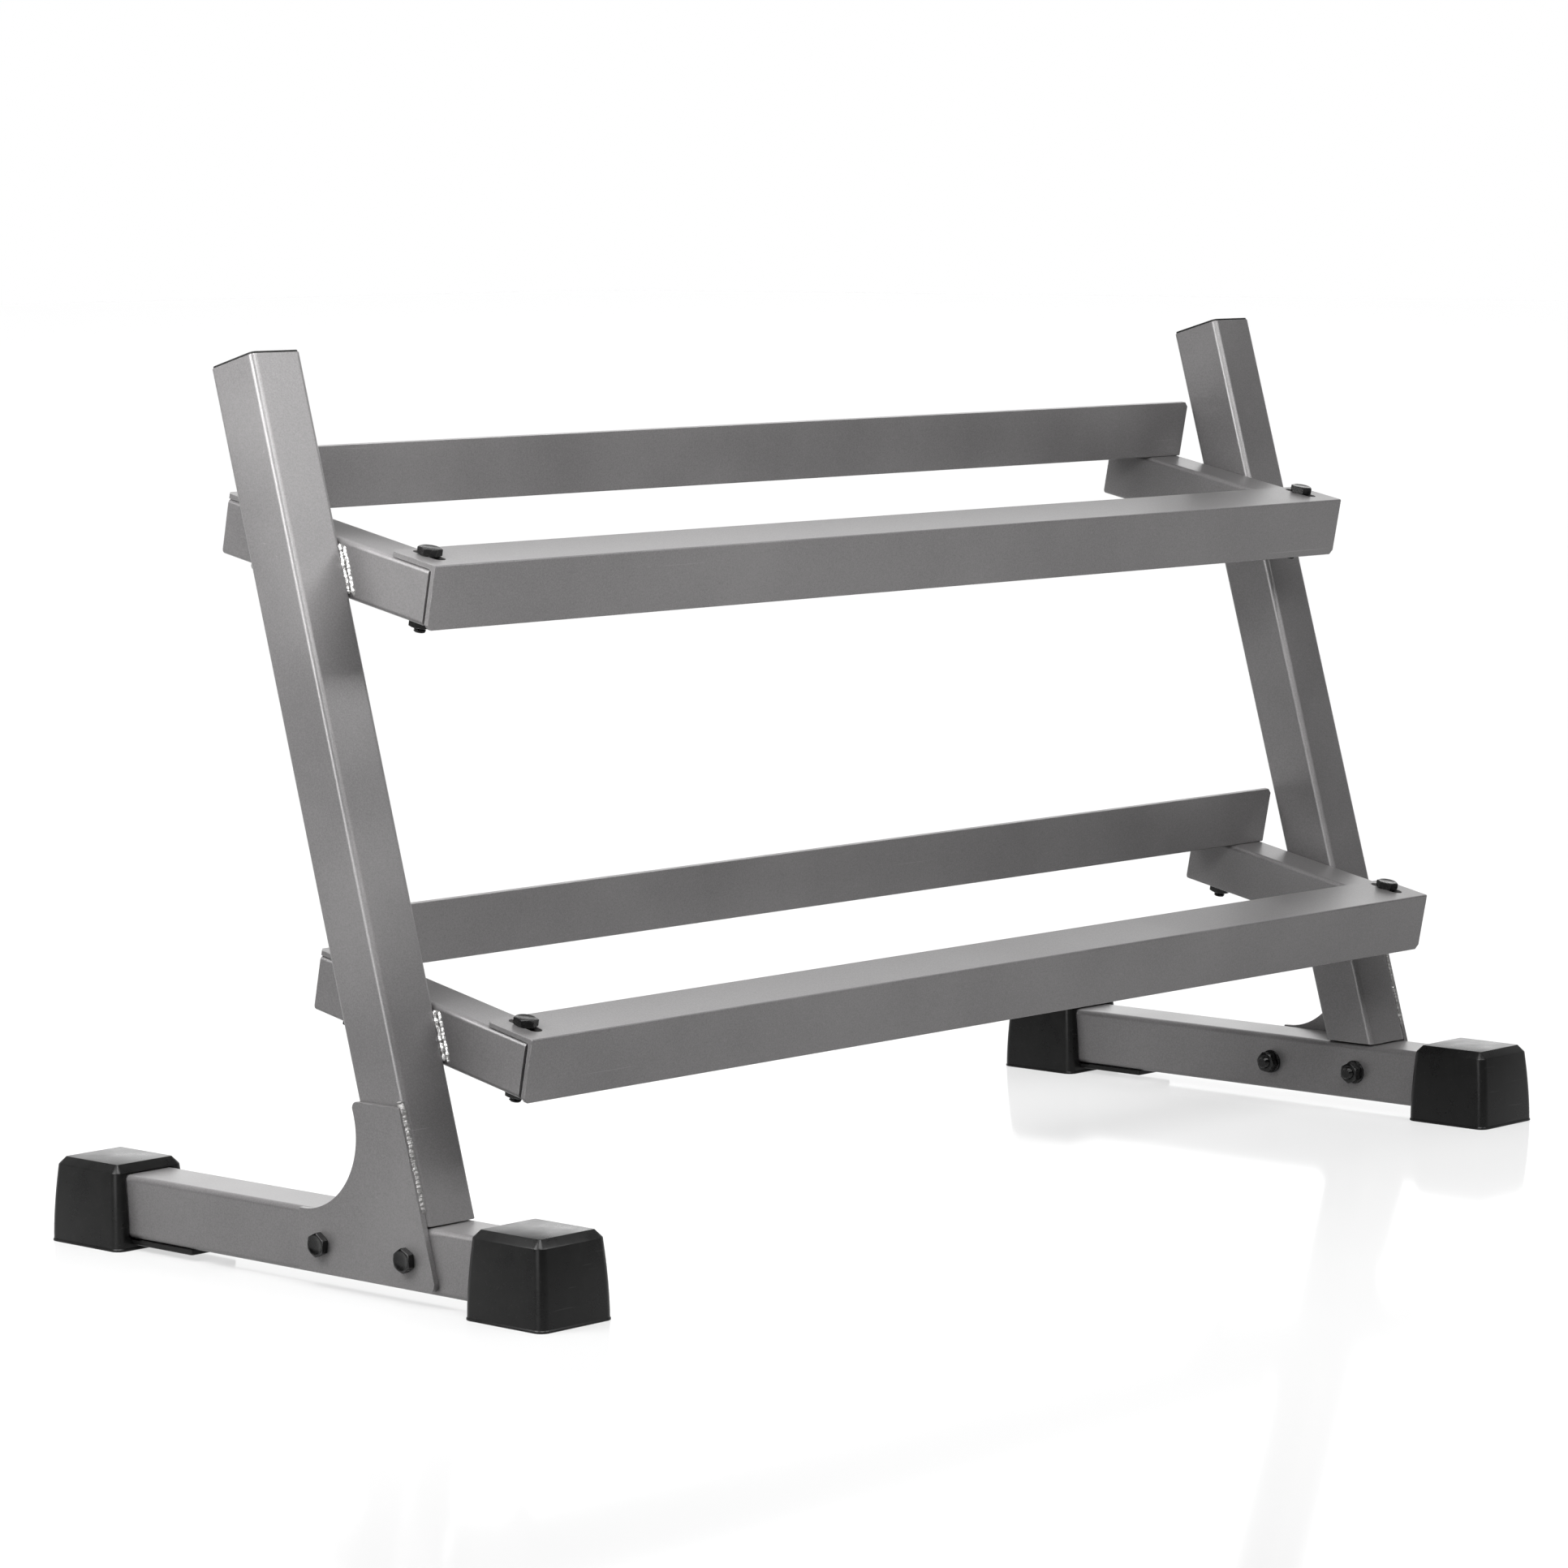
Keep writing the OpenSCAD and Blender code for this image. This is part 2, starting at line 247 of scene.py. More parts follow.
def math_node(tree, operation, *values):
    return add_node(tree, "ShaderNodeMath", dict(enumerate(values)), operation=operation).outputs[0]


def scaled(tree, value, factor):
    return math_node(tree, "MULTIPLY", value, factor)


def new_material(name):
    material = bpy.data.materials.new(name)
    material.use_nodes = True
    tree = material.node_tree
    return material, tree, tree.nodes["Principled BSDF"]


def object_coordinates(tree, scale=(1, 1, 1), turn=(0, 0, 0)):
    coordinates = add_node(tree, "ShaderNodeTexCoord").outputs["Object"]
    mapping = add_node(tree, "ShaderNodeMapping", {"Vector": coordinates, "Scale": scale, "Rotation": turn})
    return mapping.outputs["Vector"]


def noise_value(tree, vector, scale, detail=2, roughness=0.5):
    inputs = {"Vector": vector, "Scale": scale, "Detail": detail, "Roughness": roughness}
    return add_node(tree, "ShaderNodeTexNoise", inputs).outputs["Fac"]


def remap(tree, value, low, high, to_low=0.0, to_high=1.0):
    inputs = {"Value": value, "From Min": low, "From Max": high, "To Min": to_low, "To Max": to_high}
    return add_node(tree, "ShaderNodeMapRange", inputs, clamp=True).outputs["Result"]


def mix_colour(tree, factor, first, second):
    node = add_node(tree, "ShaderNodeMix", data_type="RGBA")
    for key, value in ((0, factor), (6, first), (7, second)):
        if isinstance(value, bpy.types.NodeSocket):
            tree.links.new(value, node.inputs[key])
        else:
            node.inputs[key].default_value = value
    return node.outputs[2]


def bump(tree, height, distance, strength=1.0, normal=None):
    inputs = {"Height": height, "Distance": distance, "Strength": strength}
    if normal is not None:
        inputs["Normal"] = normal
    return add_node(tree, "ShaderNodeBump", inputs).outputs["Normal"]


def edge_mask(tree, radius):
    """1 on convex edges and corners, 0 on open faces."""
    soft = add_node(tree, "ShaderNodeBevel", {"Radius": radius}, samples=4).outputs["Normal"]
    flat = add_node(tree, "ShaderNodeNewGeometry").outputs["Normal"]
    dot = add_node(tree, "ShaderNodeVectorMath", {0: soft, 1: flat}, operation="DOT_PRODUCT").outputs["Value"]
    return remap(tree, dot, 0.995, 0.90)


def scratches(tree, scale, turn, threshold):
    """Thin straight scratches that run along the turned x axis."""
    vector = object_coordinates(tree, scale, turn)
    fine = noise_value(tree, vector, 1.0, detail=1)
    return remap(tree, fine, threshold, threshold + 0.012)


# ---- materials ----

def powder_coat():
    """Metallic grey powder coat: fine fleck, orange peel, slow changes of shade and rubbed edges."""
    light = (0.236, 0.230, 0.231, 1)
    dark = (0.165, 0.1605, 0.162, 1)
    bright_part = (0.52, 0.52, 0.51, 1)
    scratched = (0.42, 0.42, 0.41, 1)
    material, tree, shader = new_material("grey_powder_coat")
    place = object_coordinates(tree)
    fleck = noise_value(tree, place, 820, detail=3, roughness=0.75)
    peel = noise_value(tree, place, 420, detail=2)
    patches = noise_value(tree, place, 7, detail=4)
    shade = math_node(tree, "ADD", scaled(tree, fleck, 0.62), scaled(tree, patches, 0.38))
    paint = mix_colour(tree, remap(tree, shade, 0.38, 0.62), dark, light)
    chips = remap(tree, noise_value(tree, place, 90, 4), 0.46, 0.7)
    rub = math_node(tree, "MULTIPLY", edge_mask(tree, 1.1 * MM), chips)
    worn = mix_colour(tree, scaled(tree, rub, 0.55), paint, bright_part)
    marks = scratches(tree, (5, 260, 420), (0.1, 0.25, 0.4), 0.79)
    tree.links.new(mix_colour(tree, scaled(tree, marks, 0.22), worn, scratched), shader.inputs["Base Color"])
    tree.links.new(remap(tree, patches, 0.3, 0.7, 0.32, 0.43), shader.inputs["Roughness"])
    soft = bump(tree, peel, 0.05 * MM, 0.45)
    tree.links.new(bump(tree, fleck, 0.045 * MM, 0.5, soft), shader.inputs["Normal"])
    shader.inputs["Metallic"].default_value = 0.35
    shader.inputs["Specular IOR Level"].default_value = 0.5
    return material


def weld_finish(name, paint_share):
    """Rippled weld bead in a thin coat of the grey paint. In patches the metal shows through glossier, and
    its near-white colour there is a painted glint.
    """
    thin_coat = (0.17, 0.166, 0.163, 1)
    thick_coat = (0.30, 0.295, 0.29, 1)
    # near-white colour painted on the bead as glints
    painted_glint = (0.86, 0.86, 0.85, 1)
    material, tree, shader = new_material(name)
    place = object_coordinates(tree)
    patches = noise_value(tree, place, 260, detail=4, roughness=0.65)
    grit = noise_value(tree, place, 1700, detail=2)
    # patches where the painted glint replaces the paint; the metal there is also glossier
    bright_part = remap(tree, patches, paint_share - 0.06, paint_share + 0.06)
    painted = mix_colour(tree, grit, thin_coat, thick_coat)
    tree.links.new(mix_colour(tree, bright_part, painted, painted_glint), shader.inputs["Base Color"])
    tree.links.new(remap(tree, bright_part, 0.0, 1.0, 0.42, 0.24), shader.inputs["Roughness"])
    tree.links.new(remap(tree, bright_part, 0.0, 1.0, 0.3, 0.6), shader.inputs["Metallic"])
    tree.links.new(bump(tree, grit, 0.12 * MM, 0.6), shader.inputs["Normal"])
    return material


def foot_rubber():
    """Moulded black rubber: fine spark texture, dusty mottling and handling scuffs."""
    black = (0.006, 0.006, 0.006, 1)
    dusty = (0.012, 0.012, 0.0118, 1)
    scuffed = (0.06, 0.06, 0.06, 1)
    material, tree, shader = new_material("foot_rubber")
    place = object_coordinates(tree)
    spark = noise_value(tree, place, 1300, detail=2)
    mottle = noise_value(tree, place, 38, detail=6, roughness=0.65)
    scuff = scratches(tree, (30, 700, 500), (0.2, 0.1, 0.9), 0.71)
    base = mix_colour(tree, remap(tree, mottle, 0.35, 0.7), black, dusty)
    tree.links.new(mix_colour(tree, scaled(tree, scuff, 0.25), base, scuffed), shader.inputs["Base Color"])
    tree.links.new(remap(tree, mottle, 0.3, 0.72, 0.24, 0.36), shader.inputs["Roughness"])
    waves = bump(tree, noise_value(tree, place, 60, 2), 0.10 * MM, 0.35)
    tree.links.new(bump(tree, spark, 0.05 * MM, 0.4, waves), shader.inputs["Normal"])
    shader.inputs["Specular IOR Level"].default_value = 0.2
    return material


def plug_plastic():
    """Black polyethylene push-in plugs with a grained face."""
    black = (0.007, 0.007, 0.007, 1)
    faded = (0.016, 0.016, 0.0155, 1)
    material, tree, shader = new_material("plug_plastic")
    place = object_coordinates(tree)
    grain = noise_value(tree, place, 900, detail=3)
    cloud = noise_value(tree, place, 60, detail=3)
    tree.links.new(mix_colour(tree, cloud, black, faded), shader.inputs["Base Color"])
    tree.links.new(remap(tree, cloud, 0.3, 0.7, 0.42, 0.6), shader.inputs["Roughness"])
    tree.links.new(bump(tree, grain, 0.06 * MM, 0.5), shader.inputs["Normal"])
    shader.inputs["Specular IOR Level"].default_value = 0.2
    return material


def black_steel():
    """Oiled black oxide on steel fasteners, worn a little on the corners."""
    black = (0.004, 0.004, 0.0043, 1)
    thin = (0.010, 0.0098, 0.0095, 1)
    bright_part = (0.22, 0.215, 0.21, 1)
    material, tree, shader = new_material("black_steel")
    place = object_coordinates(tree)
    tint = noise_value(tree, place, 260, detail=4)
    pits = noise_value(tree, place, 2200, detail=2)
    oxide = mix_colour(tree, remap(tree, tint, 0.35, 0.7), black, thin)
    rub = math_node(tree, "MULTIPLY", edge_mask(tree, 0.5 * MM), remap(tree, tint, 0.45, 0.7))
    tree.links.new(mix_colour(tree, scaled(tree, rub, 0.25), oxide, bright_part), shader.inputs["Base Color"])
    tree.links.new(remap(tree, tint, 0.3, 0.75, 0.16, 0.34), shader.inputs["Roughness"])
    tree.links.new(bump(tree, pits, 0.03 * MM, 0.5), shader.inputs["Normal"])
    shader.inputs["Metallic"].default_value = 0.05
    shader.inputs["Specular IOR Level"].default_value = 0.28
    return material


COAT = powder_coat()
# the bright weld carries more painted glint than the coated one
BRIGHT_WELD = weld_finish("bright_weld", 0.48)
COATED_WELD = weld_finish("coated_weld", 0.66)
RUBBER = foot_rubber()
PLASTIC = plug_plastic()
STEEL = black_steel()


# ---- tubes, plates and rails ----

def dressed_copy(node, ease):
    """Copy of a CAD node with its triangles merged and its cut edges eased."""
    bm = bmesh.new()
    bm.from_mesh(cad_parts[node].data)
    bmesh.ops.remove_doubles(bm, verts=bm.verts, dist=0.005 * MM)
    bmesh.ops.dissolve_limit(bm, angle_limit=math.radians(0.5), verts=bm.verts, edges=bm.edges)
    for face in bm.faces:
        face.smooth = True
    mesh = bpy.data.meshes.new(node + "_skin")
    bm.to_mesh(mesh)
    bm.free()
    piece = link_mesh(node + "_skin", mesh)
    bevel = piece.modifiers.new("ease", "BEVEL")
    bevel.width = ease
    bevel.segments = 3
    bevel.limit_method = "ANGLE"
    bevel.angle_limit = math.radians(40)
    weighted = piece.modifiers.new("normals", "WEIGHTED_NORMAL")
    weighted.mode = "FACE_AREA"
    weighted.weight = 60
    return settle(piece)


def dress_sheet_parts():
    tubes = [f"{side}_{part}" for side in SIDES for part in ("upright", "base_tube")]
    tubes += [f"{level}_{side}_bracket" for level in LEVELS for side in SIDES]
    for node in tubes:
        hand_over(dressed_copy(node, 0.35 * MM), [node], COAT)
    for node in ("left_gusset", "right_gusset"):
        hand_over(dressed_copy(node, 0.7 * MM), [node], COAT)
    for level in LEVELS:
        for end in ENDS:
            node = f"{level}_{end}_rail"
            hand_over(dressed_copy(node, 0.45 * MM), [node], COAT)


# ---- foot caps ----

CAP_WALL_TOP = 0.907            # where the chamfer starts, as a part of the cap's height
CAP_SIDE_TAPER = 3.8 * MM       # how far a side wall leans in by then
CAP_END_TAPER = 4.5 * MM
CAP_CHAMFER = 6.1 * MM
CAP_LIP = 0.45 * MM             # thin lip round the floor edge
CAP_CORNER = 8 * MM
CAP_CORNER_LOSS = 0.8 * MM      # how much sharper the corner is at the top of the walls
CAP_TOP_CORNER = 1.6 * MM       # corner radius of the flat top
CAP_ROWS = 12                   # rows of faces up a wall
CAP_BOW = 1.75                  # above 1 the wall leans in more towards its top
CAP_POCKET_GAP = 0.35 * MM      # clearance round the runner
CAP_END_WALL = 8 * MM
TONGUE_W = 46.8 * MM
TONGUE_T = 5 * MM


def cap_loops(half_x, half_y, height):
    """Outlines of a cap from its recessed underside up over the lip, the bowed walls and the chamfer."""
    low_z = 2.4 * MM
    loops = [
        rounded_loop(half_x - 7 * MM, half_y - 7 * MM, 3 * MM, 1.2 * MM),
        rounded_loop(half_x - 6 * MM, half_y - 6 * MM, 4 * MM, 0),
        rounded_loop(half_x - 0.4 * MM, half_y - 0.4 * MM, CAP_CORNER, 0),
        rounded_loop(half_x, half_y, CAP_CORNER, 0.4 * MM),
        rounded_loop(half_x, half_y, CAP_CORNER, 1.6 * MM),
    ]
    wall_top = height * CAP_WALL_TOP
    for row in range(CAP_ROWS + 1):
        rise = row / CAP_ROWS
        bow = rise ** CAP_BOW
        z = low_z + (wall_top - low_z) * rise
        x = half_x - CAP_LIP - (CAP_SIDE_TAPER - CAP_LIP) * bow
        y = half_y - CAP_LIP - (CAP_END_TAPER - CAP_LIP) * bow
        loops.append(rounded_loop(x, y, CAP_CORNER - CAP_CORNER_LOSS * bow, z))
    x = half_x - CAP_SIDE_TAPER
    y = half_y - CAP_END_TAPER
    low_r = CAP_CORNER - CAP_CORNER_LOSS
    for inset, rise in ((0.04, 0.06), (0.10, 0.15), (0.93, 0.92), (0.98, 0.975), (1.05, 1.0)):
        z = wall_top + (height - wall_top) * rise
        radius = low_r + (CAP_TOP_CORNER - low_r) * min(inset, 1)
        loops.append(rounded_loop(x - CAP_CHAMFER * inset, y - CAP_CHAMFER * inset, radius, z))
    return loops


def cut_with(piece, cutter, operation):
    tool = piece.modifiers.new("cut", "BOOLEAN")
    tool.operation = operation
    tool.solver = "EXACT"
    tool.object = cutter
    settle(piece)
    bpy.data.objects.remove(cutter)


def pocket_cutter(outward, half_length):
    """Runner-shaped cutter along y, flared where it leaves the cap's inner wall."""
    half = TUBE_W / 2 + CAP_POCKET_GAP
    rows = (
        (half_length - CAP_END_WALL, 0),
        (-half_length + 5.4 * MM, 0),
        (-half_length + 4.0 * MM, 0.9 * MM),
        (-half_length - 10 * MM, 1.6 * MM),
    )
    turn = Matrix.Translation((0, 0, RUNNER_MIDDLE)) @ Matrix.Rotation(-outward * math.pi / 2, 4, "X")

    def build(bm):
        loops = [rounded_loop(half + flare, half + flare, TUBE_R + flare, along) for along, flare in rows]
        add_loft(bm, loops)

    mesh = mesh_of("pocket", build)
    mesh.transform(turn)
    return link_mesh("pocket", mesh)


def tongue_shape(low_y, high_y):
    """Flat tongue that lies under the runner."""
    middle_y = (low_y + high_y) / 2
    half_y = (high_y - low_y) / 2
    low_z = RUNNER_LIFT - TONGUE_T

    def build(bm):
        rows = ((0.7, 0), (0, 0.7), (0, 4.1), (0.5, 4.7))
        loops = [rounded_loop(TONGUE_W / 2 - inset * MM, half_y - inset * MM, 2 * MM, low_z + rise * MM)
                 for inset, rise in rows]
        add_loft(bm, loops)

    mesh = mesh_of("tongue", build)
    mesh.transform(Matrix.Translation((0, middle_y, 0)))
    return link_mesh("tongue", mesh)


def foot_cap(side, end):
    node = f"{end}_{side}_foot_cap"
    low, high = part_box(node)
    outward = -1 if end == "front" else 1
    half_x = (high[0] - low[0]) / 2
    body_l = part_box("front_left_foot_cap")[1][1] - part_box("front_left_foot_cap")[0][1]
    height = high[2]
    outer_y = low[1] if end == "front" else high[1]
    mesh = mesh_of(node + "_moulding", lambda bm: add_loft(bm, cap_loops(half_x, body_l / 2, height)))
    piece = link_mesh(node + "_moulding", mesh)
    if end == "rear":
        cut_with(piece, tongue_shape(body_l / 2 - (high[1] - low[1]), -body_l / 2 + 12 * MM), "UNION")
    cut_with(piece, pocket_cutter(outward, body_l / 2), "DIFFERENCE")
    for polygon in piece.data.polygons:
        polygon.use_smooth = True
    piece.data.set_sharp_from_angle(angle=math.radians(24))
    piece.data.transform(Matrix.Translation(((low[0] + high[0]) / 2, outer_y - outward * body_l / 2, 0)))
    hand_over(piece, [node], RUBBER)


# ---- plugs ----

PLUG_MARGIN = 0.9 * MM          # from the post's outside to the flange's edge
PLUG_FLANGE = 1.8 * MM
PLUG_SKIRT = 14 * MM            # depth of a plug in its post
BRACKET_PLUG = 10 * MM          # depth of a plug in its bracket
BRACKET_PLUG_SUNK = 0.5 * MM


def plug_shape(bm, half_flange, flange_r, half_bore, bore_r, flange, depth):
    """Hollow push-in plug, face up z: ribbed skirt, eased flange and a shallow pan in the face."""
    skirt = half_bore - 0.5 * MM
    rib = half_bore - 0.05 * MM
    inside = half_bore - 2.2 * MM
    loops = [
        square_loop(inside, bore_r, -1.5 * MM),
        square_loop(inside, bore_r, -depth),
        square_loop(half_bore - 1.1 * MM, bore_r, -depth),
        square_loop(skirt, bore_r, -depth + 1.5 * MM),
    ]
    for z in (-depth * 0.35, -depth * 0.65):
        loops.append(square_loop(skirt, bore_r, z - 0.6 * MM))
        loops.append(square_loop(rib, bore_r, z))
        loops.append(square_loop(skirt, bore_r, z + 0.6 * MM))
    loops.append(square_loop(half_bore - 0.1 * MM, bore_r, 0))
    if flange:
        loops.append(square_loop(half_flange, flange_r, 0.05 * MM))
        loops.append(square_loop(half_flange, flange_r, flange * 0.55))
    for inset, drop in ((0.2, 0.16), (0.6, 0.02), (2.6, 0), (3.2, 0.35), (4.2, 0.4)):
        half = (half_flange if flange else half_bore) - inset * MM
        loops.append(square_loop(half, max(flange_r - inset * MM, 0.6 * MM), flange - drop * MM))
    add_loft(bm, loops)


def upright_plug(side):
    node = side + "_upright_plug"
    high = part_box(node)[1]
    bore = TUBE_W / 2 - TUBE_T
    half = TUBE_W / 2 - PLUG_MARGIN

    def build(bm):
        plug_shape(bm, half, TUBE_R - PLUG_MARGIN, bore, TUBE_R - TUBE_T, PLUG_FLANGE, PLUG_SKIRT)

    mesh = mesh_of(node + "_cap", build)
    mesh.transform(post_place(side) @ Matrix.Translation((0, 0, post_top(side, high[2]))))
    hand_over(link_mesh(node + "_cap", mesh), [node], PLASTIC)


def post_top(side, plug_high):
    """Distance up a post from its foot to its square-cut top, from the height of the plug's front edge."""
    place = post_place(side)
    front = -(TUBE_W / 2 - PLUG_MARGIN)
    rise = (plug_high - place.translation.z + front * math.sin(LEAN)) / math.cos(LEAN)
    return rise - PLUG_FLANGE


def bracket_plugs(level, side):
    """The two plugs of a bracket, which have no flange and sit just inside its ends."""
    node = f"{level}_{side}_bracket_plugs"
    half = BRACKET_W / 2 - TUBE_T - 0.05 * MM
    radius = BRACKET_R - TUBE_T

    def build(bm):
        plug_shape(bm, half, radius, half, radius, 0, BRACKET_PLUG)

    meshes = []
    for outward in (-1, 1):
        mesh = mesh_of(node, build)
        along = outward * (BRACKET_L / 2 - BRACKET_PLUG_SUNK)
        mesh.transform(Matrix.Translation((0, along, 0)) @ Matrix.Rotation(-outward * math.pi / 2, 4, "X"))
        mesh.transform(bracket_place(level, side))
        meshes.append(mesh)
    piece = link_mesh(node + "_caps", join_meshes(node + "_caps", meshes))
    piece.data.set_sharp_from_angle(angle=SHARP_ANGLE)
    hand_over(piece, [node], PLASTIC)


# ---- weld beads ----

def bead_nodes():
    """Geometry nodes that lay a rippled, lumpy bead along each edge path of a mesh."""
    tree = bpy.data.node_groups.new("weld_bead", "GeometryNodeTree")
    panel = tree.interface
    panel.new_socket("Geometry", in_out="INPUT", socket_type="NodeSocketGeometry")
    for name, value in (("Bead radius", 2.6 * MM), ("Ripple spacing", 2.2 * MM), ("Ripple depth", 0.22),
                        ("Roughness", 0.8 * MM), ("Seed", 3.0)):
        panel.new_socket(name, in_out="INPUT", socket_type="NodeSocketFloat").default_value = value
    panel.new_socket("Finish", in_out="INPUT", socket_type="NodeSocketMaterial")
    panel.new_socket("Geometry", in_out="OUTPUT", socket_type="NodeSocketGeometry")
    given = add_node(tree, "NodeGroupInput").outputs
    path = add_node(tree, "GeometryNodeMeshToCurve", {"Mesh": given["Geometry"]}).outputs["Curve"]
    fine = add_node(tree, "GeometryNodeResampleCurve", {"Curve": path, "Length": 0.35 * MM}, mode="LENGTH")
    along = add_node(tree, "GeometryNodeSplineParameter").outputs
    step = math_node(tree, "FRACT", math_node(tree, "DIVIDE", along["Length"], given["Ripple spacing"]))
    ripple = math_node(tree, "SUBTRACT", 1.0, math_node(tree, "MULTIPLY", step, given["Ripple depth"]))
    centred = math_node(tree, "ABSOLUTE", math_node(tree, "MULTIPLY_ADD", along["Factor"], 2.0, -1.0))
    ends = math_node(tree, "SUBTRACT", 1.0, math_node(tree, "POWER", centred, 24.0))
    thickness = math_node(tree, "MULTIPLY", ripple, math_node(tree, "MAXIMUM", ends, 0.25))
    sized = add_node(tree, "GeometryNodeSetCurveRadius",
                     {"Curve": fine.outputs["Curve"], "Radius": thickness})
    profile = add_node(tree, "GeometryNodeCurvePrimitiveCircle",
                       {"Resolution": 20, "Radius": given["Bead radius"]})
    skin = add_node(tree, "GeometryNodeCurveToMesh",
                    {"Curve": sized.outputs["Curve"], "Profile Curve": profile.outputs["Curve"],
                     "Fill Caps": True})
    if "Scale" in skin.inputs:
        radius = add_node(tree, "GeometryNodeInputRadius").outputs[0]
        tree.links.new(radius, skin.inputs["Scale"])
    lumps = add_node(tree, "ShaderNodeTexNoise", {"W": given["Seed"], "Scale": 260.0, "Detail": 3.0},
                     noise_dimensions="4D")
    centred_lumps = math_node(tree, "SUBTRACT", lumps.outputs["Fac"], 0.5)
    height = math_node(tree, "MULTIPLY", centred_lumps, given["Roughness"])
    normal = add_node(tree, "GeometryNodeInputNormal").outputs["Normal"]
    push = add_node(tree, "ShaderNodeVectorMath", {0: normal, "Scale": height}, operation="SCALE")
    rough = add_node(tree, "GeometryNodeSetPosition",
                     {"Geometry": skin.outputs["Mesh"], "Offset": push.outputs["Vector"]})
    smooth = add_node(tree, "GeometryNodeSetShadeSmooth", {"Geometry": rough.outputs["Geometry"]})
    solid = add_node(tree, "GeometryNodeRealizeInstances", {"Geometry": smooth.outputs["Geometry"]})
    coated = add_node(tree, "GeometryNodeSetMaterial",
                      {"Geometry": solid.outputs["Geometry"], "Material": given["Finish"]})
    add_node(tree, "NodeGroupOutput", {"Geometry": coated.outputs["Geometry"]})
    return tree


def run_tree(piece, tree, values):
    """Runs a geometry node tree on a piece with the named inputs and keeps the mesh that it makes."""
    modifier = piece.modifiers.new("nodes", "NODES")
    modifier.node_group = tree
    for item in tree.interface.items_tree:
        if item.item_type == "SOCKET" and item.in_out == "INPUT" and item.name in values:
            modifier[item.identifier] = values[item.name]
    return settle(piece)


def path_mesh(name, paths):
    mesh = bpy.data.meshes.new(name)
    points = []
    edges = []
    for path in paths:
        start = len(points)
        points += [tuple(point) for point in path]
        edges += [(start + i, start + i + 1) for i in range(len(path) - 1)]
    mesh.from_pydata(points, edges, [])
    return mesh


def wandering(start, end, wander, seed, count=14):
    """Points from start to end that stray a little, as a hand-laid bead does."""
    points = []
    for i in range(count):
        point = start.lerp(end, i / (count - 1))
        stray = noise.noise_vector(point * 90 + Vector((seed, seed, seed)))
        points.append(point + stray * wander)
    return points


def bead_values(radius, spacing, roughness, seed, finish):
    return {"Bead radius": radius, "Ripple spacing": spacing, "Ripple depth": 0.16, "Roughness": roughness,
            "Seed": seed, "Finish": finish}


def gusset_weld(side, tree):
    node = side + "_gusset_weld"
    sign = side_sign(side)
    place = post_place(side)
    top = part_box(side + "_gusset")[1][2]
    bead_l = (top - RUNNER_TOP) / math.cos(LEAN) - 3 * MM
    x = sign * (TUBE_W / 2 + 0.5 * MM)
    y = -TUBE_W / 2 + 1.9 * MM
    start = place @ Vector((x, y, 3 * MM))
    end = place @ Vector((x, y, bead_l - 1 * MM))
    blob_x = x + sign * 0.6 * MM
    blob_y = y + 1.2 * MM
    blob = [place @ Vector((blob_x, blob_y, bead_l - drop * MM)) for drop in (8, 5, 2, -0.5)]
    bead = link_mesh(node + "_bead", path_mesh(node, [wandering(start, end, 1.0 * MM, 2), blob]))
    run_tree(bead, tree, bead_values(2.7 * MM, 3.4 * MM, 2.2 * MM, 3.0 + sign, COATED_WELD))
    hand_over(bead, [node], COATED_WELD)


def bracket_weld(level, side, tree):
    """Two overlapping passes at each end of the joint between a bracket and its post."""
    node = f"{level}_{side}_bracket_weld"
    sign = side_sign(side)
    place = post_place(side)
    up = place.to_3x3() @ Vector((0, 0, 1))
    middle = place.inverted() @ box_middle(node)
    slope = math.tan(LEAN + TILT)
    half = BRACKET_W / 2 - 2.4 * MM
    passes = (
        (TUBE_W / 2 - 0.9 * MM, TUBE_W / 2 - 0.7 * MM),
        (TUBE_W / 2 + 0.1 * MM, TUBE_W / 2 + 3.4 * MM),
    )
    paths = []
    for end in (-1, 1):
        for x, y in passes:
            base = place @ Vector((-sign * x, end * y, middle.z + end * y * slope))
            paths.append(wandering(base - up * half, base + up * half, 0.9 * MM, 5 + end))
    piece = link_mesh(node + "_beads", path_mesh(node, paths))
    run_tree(piece, tree, bead_values(1.9 * MM, 3.1 * MM, 1.7 * MM, 7.0 + sign, BRIGHT_WELD))
    hand_over(piece, [node], BRIGHT_WELD)


# ---- fasteners ----

CHAMFER_R = HEX_W / 2 * 0.955   # round flat that the chamfer leaves on a hexagon's end
CHAMFER_SLOPE = math.tan(math.radians(28))
HEX_STEPS = 72                  # points round a head or nut
ROD_STEPS = 36                  # points round a shank
WASHER_STEPS = 64
HEAD_STEP_R = HEX_W / 2 * 0.93  # round step under a bolt head
HEAD_STEP_H = 0.4 * MM
EDGE_EASE = 0.12 * MM           # rounding of a hexagon's end edges


def hex_radius(angle):
    """Distance from the middle of the hexagon to its outline at an angle."""
    sixth = math.pi / 3
    return HEX_W / 2 / math.cos((angle % sixth) - sixth / 2)


def hex_loop(z_of, shrink=0.0):
    """Hexagon at the height z_of(radius), each point shrunk towards the axis."""
    points = []
    for i in range(HEX_STEPS):
        angle = math.tau * i / HEX_STEPS
        radius = hex_radius(angle) - shrink
        points.append((radius * math.cos(angle), radius * math.sin(angle), z_of(hex_radius(angle))))
    return points


def chamfer_drop(radius):
    return max(radius - CHAMFER_R, 0) * CHAMFER_SLOPE


